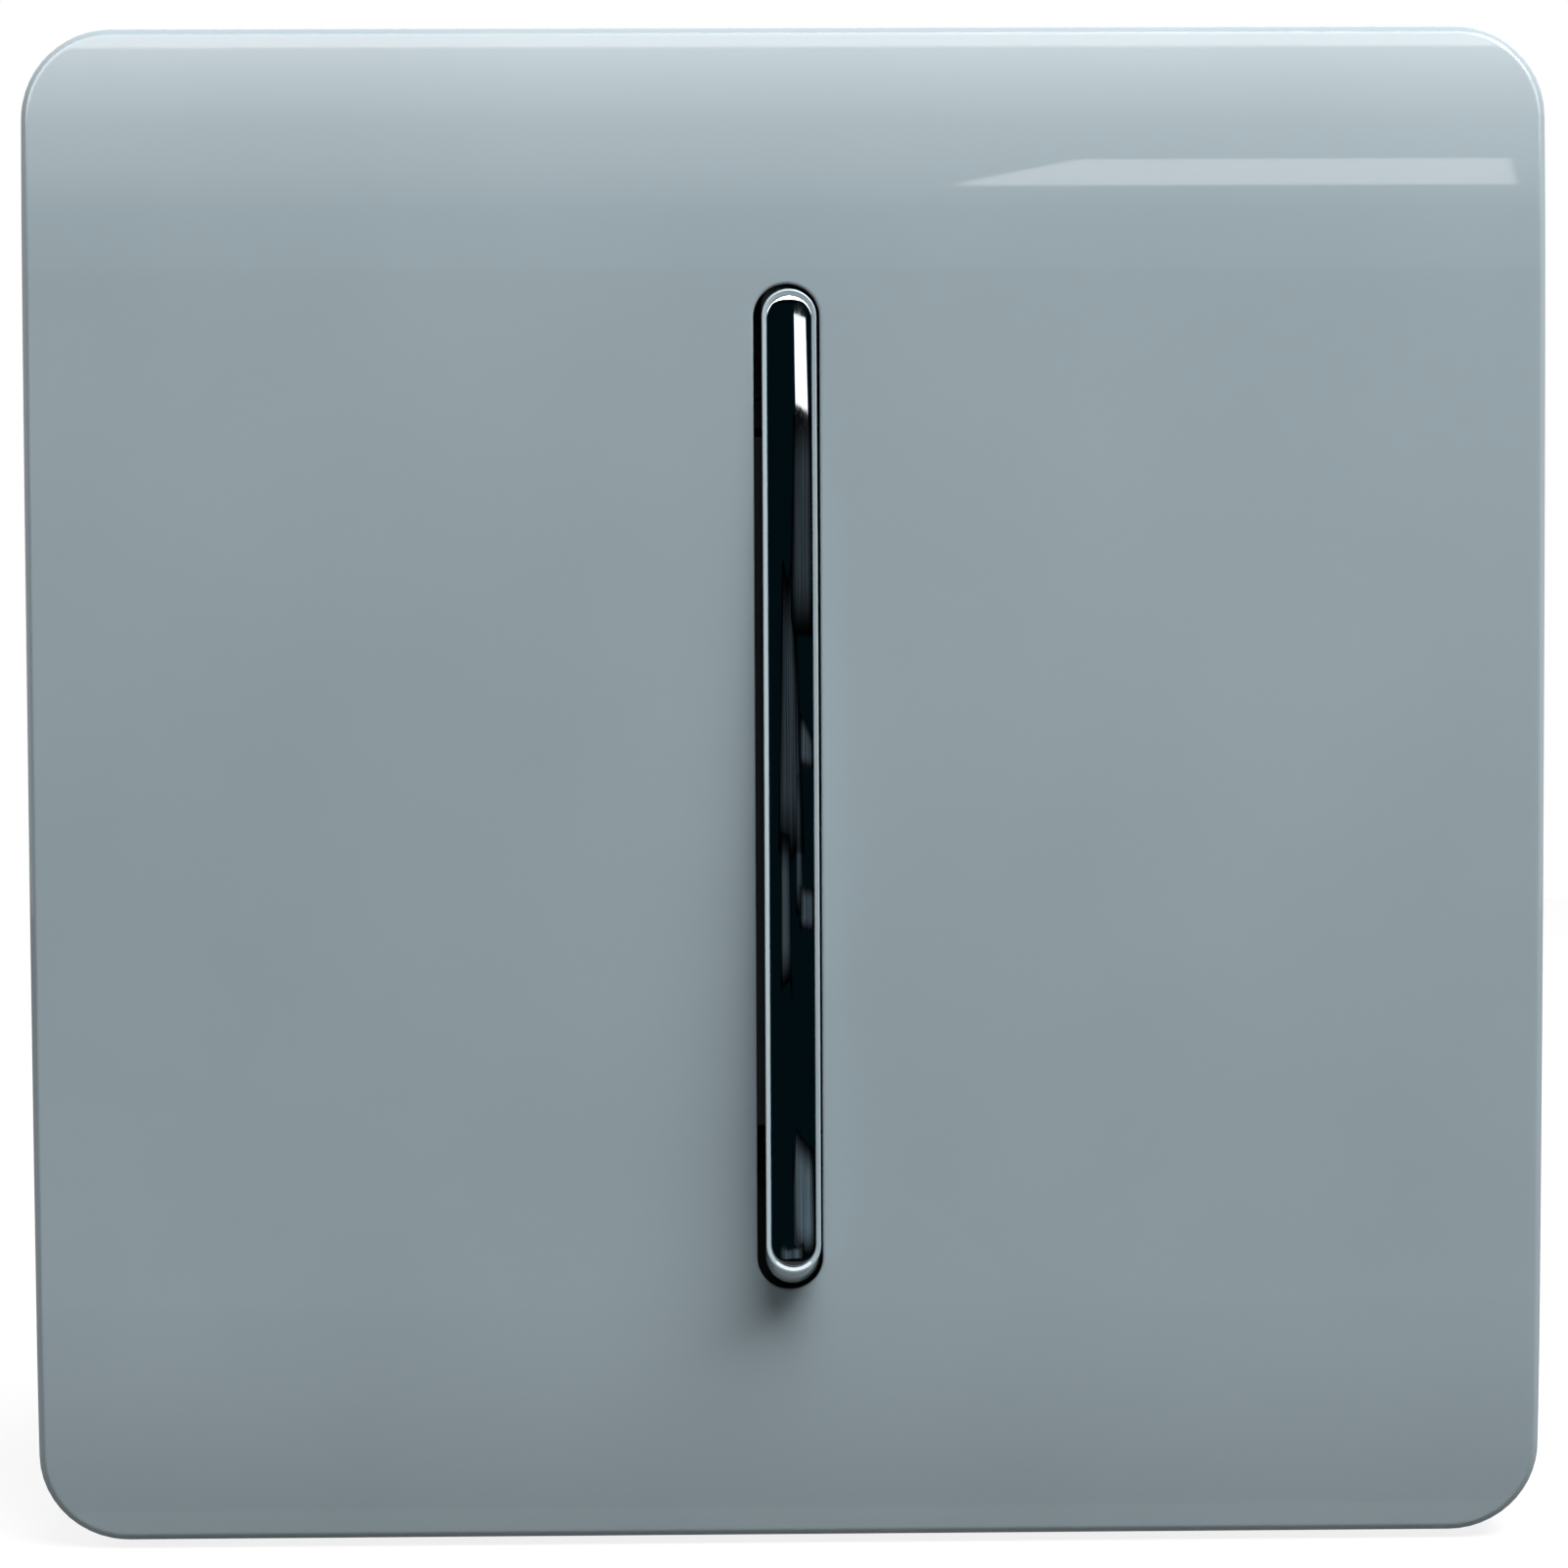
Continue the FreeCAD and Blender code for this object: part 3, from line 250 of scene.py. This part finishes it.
class Graph:
    """A material's nodes, added and linked by short calls."""

    def __init__(self, name):
        self.material = bpy.data.materials.new(name)
        self.material.use_nodes = True
        self.tree = self.material.node_tree
        self.shader = self.tree.nodes["Principled BSDF"]
        self.output = self.tree.nodes["Material Output"]

    def add(self, kind, **values):
        """A node with sockets set by name, and properties given in lower case."""
        node = self.tree.nodes.new(kind)
        for key, value in values.items():
            if key in node.inputs:
                node.inputs[key].default_value = value
            else:
                setattr(node, key, value)
        return node

    def join(self, source, target):
        """Link an output socket to an input socket."""
        self.tree.links.new(source, target)

    def place(self, waves):
        """Object coordinates in millimetres, stretched by a number of waves per axis."""
        coordinates = self.add("ShaderNodeTexCoord")
        mapping = self.add("ShaderNodeMapping")
        mapping.inputs["Scale"].default_value = [count / MM for count in waves]
        self.join(coordinates.outputs["Object"], mapping.inputs["Vector"])
        return mapping.outputs["Vector"]

    def noise(self, waves, detail=2.0, roughness=0.5):
        """Noise with a number of waves per millimetre on each axis."""
        node = self.add("ShaderNodeTexNoise", Detail=detail, Roughness=roughness, Scale=1.0)
        self.join(self.place(waves), node.inputs["Vector"])
        return node.outputs["Fac"]

    def spread(self, source, low, high, start=0.3, end=0.7):
        """Map a 0 to 1 value onto a range."""
        node = self.add("ShaderNodeMapRange")
        node.inputs["From Min"].default_value = start
        node.inputs["From Max"].default_value = end
        node.inputs["To Min"].default_value = low
        node.inputs["To Max"].default_value = high
        self.join(source, node.inputs["Value"])
        return node.outputs["Result"]

    def tint(self, source, first, second):
        """Blend two screen colours by noise into the base colour."""
        mix = self.add("ShaderNodeMix", data_type="RGBA")
        mix.inputs["A"].default_value = colour(first)
        mix.inputs["B"].default_value = colour(second)
        self.join(self.spread(source, 0.0, 1.0), mix.inputs["Factor"])
        self.join(mix.outputs["Result"], self.shader.inputs["Base Color"])

    def polish(self, source, low, high):
        """Roughness that follows noise between two values."""
        self.join(self.spread(source, low, high), self.shader.inputs["Roughness"])

    def relief(self, source, depth_mm, soften_mm=0.0):
        """Bump of a depth in millimetres, over edges softened by a radius."""
        bump = self.add("ShaderNodeBump", Strength=1.0, Distance=depth_mm * MM)
        self.join(source, bump.inputs["Height"])
        if soften_mm:
            bevel = self.add("ShaderNodeBevel", samples=8, Radius=soften_mm * MM)
            self.join(bevel.outputs["Normal"], bump.inputs["Normal"])
        self.join(bump.outputs["Normal"], self.shader.inputs["Normal"])

    def set(self, **values):
        """Plain numbers on the shader's own sockets, underscores for spaces."""
        for key, value in values.items():
            self.shader.inputs[key.replace("_", " ")].default_value = value


def gloss_plate(name, soften_mm):
    """Blue-grey glossy moulding with a faint flow unevenness."""
    graph = Graph(name)
    graph.tint(graph.noise(even(PLATE_FLOW), detail=3.0), *PLATE_GREYS)
    graph.polish(graph.noise(even(PLATE_POLISH)), *PLATE_ROUGHNESS)
    graph.relief(graph.noise(even(PLATE_PEEL), detail=1.0), PLATE_PEEL_MM, soften_mm)
    graph.set(IOR=PLASTIC_IOR)
    return graph.material


def chrome():
    """Bright plating with fine lengthwise polishing marks."""
    graph = Graph("chrome_plating")
    streaks = graph.noise(CHROME_STREAKS)
    graph.tint(streaks, *CHROME_GREYS)
    graph.polish(streaks, *CHROME_ROUGHNESS)
    graph.relief(graph.noise(CHROME_RIPPLE), CHROME_RIPPLE_MM)
    graph.set(Metallic=1.0)
    return graph.material


def moulding(name):
    """Satin moulded plastic with a fine spark-eroded grain."""
    graph = Graph(name)
    graph.tint(graph.noise(even(SATIN_CLOUD)), *MOULDINGS[name])
    grain = graph.noise(even(1 / SATIN_GRAIN_MM), detail=3.0)
    graph.polish(grain, *SATIN_ROUGHNESS)
    graph.relief(grain, SATIN_RELIEF_MM, SATIN_EDGE_MM)
    graph.set(IOR=PLASTIC_IOR)
    return graph.material


def metal(name):
    """Metal with a grain that follows how it was rolled, drawn or turned."""
    low, high, lay, roughness, depth_mm = METALS[name]
    graph = Graph(name)
    grain = graph.noise(lay, detail=4.0, roughness=0.6)
    graph.tint(grain, low, high)
    graph.polish(grain, *(roughness + span for span in METAL_ROUGHNESS_SPAN))
    graph.relief(grain, depth_mm, METAL_EDGE_MM)
    graph.set(Metallic=1.0)
    return graph.material


def dress_rocker():
    """Put the finer bar and trim in place of the plain solids."""
    bar = eased_bar()
    bar.data.materials.append(gloss_plate("gloss_rocker_moulding", 0.0))
    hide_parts("rocker_bar")
    trim = domed_trim()
    trim.data.materials.append(chrome())
    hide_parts("rocker_trim")
    return bar, trim


def finish_nodes(nodes):
    """Give every piece that is shown as its solid the finish of what it is made of."""
    finishes = {name: metal(name) for name in METALS}
    finishes.update({name: moulding(name) for name in MOULDINGS})
    dress(nodes["front_plate"], gloss_plate("gloss_plate_moulding", PLATE_EDGE_MM))
    for name, finish in MADE_OF.items():
        dress(nodes[name], finishes[finish])


def dress(piece, material):
    """Put one material on a whole piece."""
    piece.data.materials.clear()
    piece.data.materials.append(material)


def press_spring(spring):
    """Give the spring its own copy of its mesh."""
    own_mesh(spring)


def face_y(up):
    """Depth of the bar's crowned face at a height, with the bar upright."""
    return FACE_Y + FACE_CROWN_R - math.sqrt(FACE_CROWN_R ** 2 - up ** 2)


def dome(across):
    """How far the trim's dome stands forward of its long edges."""
    half = BAR_HALF_WIDTH - BAR_RIM
    return math.sqrt(TRIM_DOME_R ** 2 - across ** 2) - math.sqrt(TRIM_DOME_R ** 2 - half ** 2)


def end_reach(depth_y):
    """Half the bar's length at a depth: its ends follow a circle about the pivot."""
    return math.sqrt(BAR_END_R ** 2 - depth_y ** 2)


def at_rest(point):
    """A place on the upright rocker, in millimetres, as a place in the scene."""
    return (REST_TURN @ point + PIVOT) * MM


def ring(half_width, half_length, depth):
    """A long round-ended loop of points, each as deep as depth(across, up) says."""
    flat = half_length - half_width
    places = []
    for side, start in ((1, 0.0), (-1, math.pi)):
        for step in range(ARC_STEPS):
            turn = start + math.pi * step / ARC_STEPS
            places.append((half_width * math.cos(turn), side * flat + half_width * math.sin(turn)))
        for step in range(RUN_STEPS):
            places.append((-side * half_width, side * flat * (1 - 2 * step / RUN_STEPS)))
    return [Vector((across, depth(across, up), up)) for across, up in places]


def loft(name, rings):
    """A smooth closed mesh through a row of loops, riding on the rocker."""
    count = len(rings[0])
    faces = [tuple(reversed(range(count)))]
    for row in range(len(rings) - 1):
        near = row * count
        far = near + count
        for step in range(count):
            following = (step + 1) % count
            faces.append((near + step, near + following, far + following, far + step))
    last = (len(rings) - 1) * count
    faces.append(tuple(range(last, last + count)))
    mesh = bpy.data.meshes.new(name)
    mesh.from_pydata([at_rest(point) for loop in rings for point in loop], [], faces)
    mesh.polygons.foreach_set("use_smooth", [True] * len(faces))
    piece = bpy.data.objects.new(name, mesh)
    bpy.context.scene.collection.objects.link(piece)
    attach(piece, "rocker")
    return piece


def eased(radius):
    """Inset and drop round a quarter turn, from the wall to the face."""
    turns = [math.pi / 2 * step / EDGE_STEPS for step in range(EDGE_STEPS + 1)]
    return [(radius * (1 - math.cos(turn)), radius * (1 - math.sin(turn))) for turn in turns]


def eased_bar():
    """The rocker's bar: wall, rounded edge, rim with its inner bevel, and the floor under the trim."""
    face_end_y = face_y(end_reach(FACE_Y))
    end_share = BAR_END_RIM / BAR_RIM

    def rim_ring(inset, drop):
        half_length = end_reach(face_end_y + drop) - inset * end_share
        return ring(BAR_HALF_WIDTH - inset, half_length, lambda across, up: face_y(up) + drop)

    wall_front_y = face_end_y + BAR_EDGE_R
    rings = []
    for share in WALL_SHARES:
        wall_y = BAR_REAR_Y + (wall_front_y - BAR_REAR_Y) * share
        rings.append(ring(BAR_HALF_WIDTH, end_reach(wall_y), lambda across, up, depth=wall_y: depth))
    rings += [rim_ring(inset, drop) for inset, drop in eased(BAR_EDGE_R)]
    for share in BEVEL_SHARES:
        rings.append(rim_ring(BAR_RIM - BAR_BEVEL_WIDTH * (1 - share), BAR_BEVEL_DROP * share))
    rings.append(rim_ring(BAR_RIM, TRIM_THICK))
    return loft("rocker_bar_eased", rings)


def domed_trim():
    """The chromed strip, seated under the rim's bevel, with a fine domed face and rolled ends."""
    half_width = BAR_HALF_WIDTH - BAR_RIM
    half_length = end_reach(face_y(end_reach(FACE_Y))) - BAR_END_RIM

    def lift(across, inset):
        rolled = math.sqrt(1 - max(0.0, 1 - inset / TRIM_ROLL) ** 2) * dome(0.0)
        return min(dome(across), rolled)

    def trim_ring(inset, drop):
        return ring(half_width - inset, half_length - inset,
                    lambda across, up: face_y(up) + BAR_BEVEL_DROP + drop - lift(across, inset))

    rings = [trim_ring(0.0, TRIM_THICK)]
    rings += [trim_ring(inset, drop) for inset, drop in eased(TRIM_EDGE_R)]
    run_in = half_width - TRIM_EDGE_R
    shares = [(step / CROSS_STEPS) ** 2 for step in range(1, CROSS_STEPS)]
    rings += [trim_ring(TRIM_EDGE_R + run_in * share, 0.0) for share in shares]
    rings.append(trim_ring(half_width - TRIM_CENTRE_GAP, 0.0))
    return loft("rocker_trim_domed", rings)


def camera():
    """The photograph's camera: straight on, a little left of centre and above it."""
    yaw = math.radians(CAMERA_YAW_DEG)
    pitch = math.radians(CAMERA_PITCH_DEG)
    roll = math.radians(CAMERA_ROLL_DEG)
    ahead = Vector((math.sin(yaw) * math.cos(pitch), math.cos(yaw) * math.cos(pitch), -math.sin(pitch)))
    right = Vector((math.cos(yaw), -math.sin(yaw), 0))
    up = right.cross(ahead)
    rolled_right = right * math.cos(roll) + up * math.sin(roll)
    rolled_up = up * math.cos(roll) - right * math.sin(roll)
    data = bpy.data.cameras.new("photo_camera")
    data.sensor_width = SENSOR_MM
    data.lens = FOCAL_PX / PHOTO_WIDTH * SENSOR_MM
    data.clip_start = CAMERA_CLIP_START
    holder = bpy.data.objects.new("photo_camera", data)
    bpy.context.scene.collection.objects.link(holder)
    axes = Matrix((rolled_right, rolled_up, -ahead)).transposed()
    holder.matrix_world = Matrix.Translation(CAMERA_PLACE) @ axes.to_4x4()
    bpy.context.scene.camera = holder


def flat_mesh(name, corners):
    """A four-cornered sheet with its corners mapped, linked into the scene."""
    mesh = bpy.data.meshes.new(name)
    mesh.from_pydata(corners, [], [(0, 1, 2, 3)])
    for spot, place in zip(mesh.uv_layers.new().data, ((0, 0), (1, 0), (1, 1), (0, 1))):
        spot.uv = place
    sheet = bpy.data.objects.new(name, mesh)
    bpy.context.scene.collection.objects.link(sheet)
    return sheet


def lying(half_width, front_y, rear_y, z):
    """Corners of a level sheet, given in millimetres."""
    places = ((-half_width, front_y), (half_width, front_y), (half_width, rear_y), (-half_width, rear_y))
    return [Vector((x, y, z)) * MM for x, y in places]


def upright(x0, x1, z0, z1, y):
    """Corners of an upright card, given in millimetres."""
    return [Vector((x, y, z)) * MM for x, z in ((x0, z0), (x1, z0), (x1, z1), (x0, z1))]


def floor():
    """Pale floor that reads as white and keeps the object's shadow."""
    sheet = flat_mesh("studio_floor", lying(FLOOR_REACH, FLOOR_FRONT_Y, FLOOR_REACH, FLOOR_Z))
    graph = Graph("studio_floor_paint")
    graph.set(Roughness=FLOOR_ROUGHNESS, Specular_IOR_Level=FLOOR_SPECULAR)
    glow = graph.add("ShaderNodeEmission", Strength=1.0)
    seen = graph.add("ShaderNodeLightPath").outputs["Is Camera Ray"]
    share = graph.add("ShaderNodeMath", operation="MULTIPLY")
    share.inputs[1].default_value = FLOOR_GLOW_SHARE
    mix = graph.add("ShaderNodeMixShader")
    paint = graph.spread(seen, FLOOR_PAINT_UNSEEN, FLOOR_PAINT_SEEN, 0.0, 1.0)
    graph.join(paint, graph.shader.inputs["Base Color"])
    graph.join(seen, share.inputs[0])
    graph.join(share.outputs[0], mix.inputs["Fac"])
    graph.join(graph.shader.outputs[0], mix.inputs[1])
    graph.join(glow.outputs[0], mix.inputs[2])
    graph.join(mix.outputs[0], graph.output.inputs["Surface"])
    sheet.data.materials.append(graph.material)


def mirrored_place(across, up):
    """Where the card plane is seen in the trim's face, at a place across and up the face."""
    start = at_rest(Vector((across, face_y(up) - dome(across), up)))
    lean = up / FACE_CROWN_R
    turn = math.asin(across / TRIM_DOME_R)
    normal = Vector((math.sin(turn), -math.cos(turn) * math.cos(lean), math.cos(turn) * math.sin(lean)))
    ray = (start - CAMERA_PLACE).normalized().reflect(REST_TURN @ normal)
    return start + ray * ((MIRROR_PLANE_Y * MM - start.y) / ray.y)


def soft_edges(graph, level):
    """A brightness that falls away towards a sheet's four edges."""
    place = graph.add("ShaderNodeTexCoord")
    split = graph.add("ShaderNodeSeparateXYZ")
    graph.join(place.outputs["UV"], split.inputs["Vector"])
    for axis in ("X", "Y"):
        fold = graph.add("ShaderNodeMath", operation="PINGPONG")
        fold.inputs[1].default_value = SHEET_MIDDLE
        rise = graph.add("ShaderNodeMapRange", interpolation_type="SMOOTHSTEP")
        rise.inputs["From Max"].default_value = EDGE_FADE
        product = graph.add("ShaderNodeMath", operation="MULTIPLY")
        graph.join(split.outputs[axis], fold.inputs[0])
        graph.join(fold.outputs[0], rise.inputs["Value"])
        graph.join(rise.outputs["Result"], product.inputs[0])
        graph.join(level, product.inputs[1])
        level = product.outputs[0]
    return level


def card(name, corners, strength, seen_by=(), streaks=None, tone=WHITE):
    """A bright or dark card that only the gloss of the named pieces sees, or of all pieces."""
    sheet = flat_mesh(name, corners)
    graph = Graph(name + "_face")
    graph.tree.nodes.remove(graph.shader)
    glow = graph.add("ShaderNodeEmission", Strength=strength, Color=tone)
    if streaks:
        dim, bright = (strength * share for share in STREAK_SPAN)
        level = graph.spread(graph.noise(streaks), dim, bright)
        graph.join(soft_edges(graph, level), glow.inputs["Strength"])
    graph.join(glow.outputs[0], graph.output.inputs["Surface"])
    sheet.data.materials.append(graph.material)
    sheet.visible_camera = False
    sheet.visible_diffuse = False
    sheet.visible_shadow = False
    sheet.visible_transmission = False
    if seen_by:
        keep_for(sheet, seen_by)
    return sheet


def keep_for(source, pieces):
    """Let only these pieces catch the light of a card or lamp."""
    group = bpy.data.collections.new(source.name + "_receivers")
    for piece in pieces:
        group.objects.link(piece)
    source.light_linking.receiver_collection = group


def keep_from(source, piece):
    """Keep the light of a lamp off one piece."""
    group = bpy.data.collections.new(source.name + "_receivers")
    group.objects.link(piece)
    group.collection_objects[0].light_linking.link_state = "EXCLUDE"
    source.light_linking.receiver_collection = group


def lamp(name, glossy=False):
    """A soft lamp of the table aimed at its target, seen in gloss or not."""
    place, target, size, power = LAMPS[name]
    data = bpy.data.lights.new(name, "AREA")
    data.shape = "RECTANGLE"
    data.size, data.size_y = (side * MM for side in size)
    data.energy = power
    holder = bpy.data.objects.new(name, data)
    bpy.context.scene.collection.objects.link(holder)
    holder.location = Vector(place) * MM
    holder.rotation_euler = (Vector(target) - Vector(place)).to_track_quat("-Z", "Y").to_euler()
    holder.visible_glossy = glossy
    return holder


def world():
    """White behind the object for the camera, gloss and glass, and a dim even fill for the rest."""
    studio = bpy.data.worlds.new("studio")
    studio.use_nodes = True
    tree = studio.node_tree
    path = tree.nodes.new("ShaderNodeLightPath")
    seen = path.outputs["Is Camera Ray"]
    for kind in ("Is Glossy Ray", "Is Transmission Ray"):
        either = tree.nodes.new("ShaderNodeMath")
        either.operation = "MAXIMUM"
        tree.links.new(seen, either.inputs[0])
        tree.links.new(path.outputs[kind], either.inputs[1])
        seen = either.outputs[0]
    level = tree.nodes.new("ShaderNodeMapRange")
    level.inputs["To Min"].default_value = FILL_LEVEL
    tree.links.new(seen, level.inputs["Value"])
    tree.links.new(level.outputs["Result"], tree.nodes["Background"].inputs["Strength"])
    tree.nodes["Background"].inputs["Color"].default_value = WHITE
    bpy.context.scene.world = studio


def bright_sky(plate):
    """Graded card high in front: the plate's rolled top edge mirrors its brighter upper part."""
    sheet = card("graded_card", upright(*SKY_CARD, SKY_PLANE_Y), 1.0, [plate])
    tree = sheet.data.materials[0].node_tree
    place = tree.nodes.new("ShaderNodeTexCoord")
    split = tree.nodes.new("ShaderNodeSeparateXYZ")
    ramp = tree.nodes.new("ShaderNodeFloatCurve")
    height = tree.nodes.new("ShaderNodeMapRange")
    height.inputs["From Min"].default_value = SKY_LOW_Z * MM
    height.inputs["From Max"].default_value = SKY_FULL_Z * MM
    points = ramp.mapping.curves[0].points
    points[0].location = (0.0, 0.0)
    points[1].location = (1.0, 1.0)
    for share, brightness in SKY_CURVE:
        points.new(share, brightness)
    ramp.mapping.update()
    scale = tree.nodes.new("ShaderNodeMath")
    scale.operation = "MULTIPLY"
    scale.inputs[1].default_value = SKY_LEVEL
    glow = next(node for node in tree.nodes if node.type == "EMISSION")
    tree.links.new(place.outputs["Object"], split.inputs["Vector"])
    tree.links.new(split.outputs["Z"], height.inputs["Value"])
    tree.links.new(height.outputs["Result"], ramp.inputs["Value"])
    tree.links.new(ramp.outputs["Value"], scale.inputs[0])
    tree.links.new(scale.outputs[0], glow.inputs["Strength"])


def lamps(bar, housing):
    """Soft overhead key from the right, weaker on the pale housing, and weak fills in front and behind."""
    keep_from(lamp("overhead_key", glossy=True), housing)
    keep_for(lamp("housing_key"), [housing])
    lamp("front_fill")
    rocker_fill = lamp("rocker_fill")
    keep_for(rocker_fill, [bar])
    rocker_fill.light_linking.blocker_collection = rocker_fill.light_linking.receiver_collection
    lamp("back_fill")


def cards(plate, bar, trim):
    """Dark flags, the window and the pale shapes that the plate, bar and trim mirror."""
    floor_flag = lying(FLOOR_FLAG_HALF_WIDTH, FLOOR_FRONT_Y, FLOOR_FLAG_REAR_Y, FLOOR_Z + FLOOR_FLAG_LIFT)
    card("floor_flag", floor_flag, FLOOR_FLAG_LEVEL)
    card("dark_flag", upright(*DARK_FLAG, FLAG_PLANE_Y), DARK_FLAG_LEVEL, tone=DEEP_BLUE)
    card("window", [mirrored_place(*place) for place in WINDOW], WINDOW_LEVEL, [trim])
    for name, (places, strength) in MIRRORED.items():
        card(name, [mirrored_place(*place) for place in places], strength, [trim], MIRRORED_STREAKS, COOL)
    strip = [Vector((x, STRIP_PLANE_Y, z)) * MM for x, z in WINDOW_STRIP]
    card("window_strip", strip, WINDOW_STRIP_LEVEL, [plate])
    card("ceiling_edge", upright(*CEILING_EDGE, STRIP_PLANE_Y), CEILING_LEVEL, [plate, bar, trim])
    bright_sky(plate)


def main():
    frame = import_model()
    bpy.context.scene.view_settings.view_transform = "Standard"
    nodes = frame["nodes"]
    finish_nodes(nodes)
    bar, trim = dress_rocker()
    press_spring(nodes["plunger_spring"])
    camera()
    floor()
    world()
    lamps(bar, nodes["mechanism_housing"])
    cards(nodes["front_plate"], bar, trim)


main()
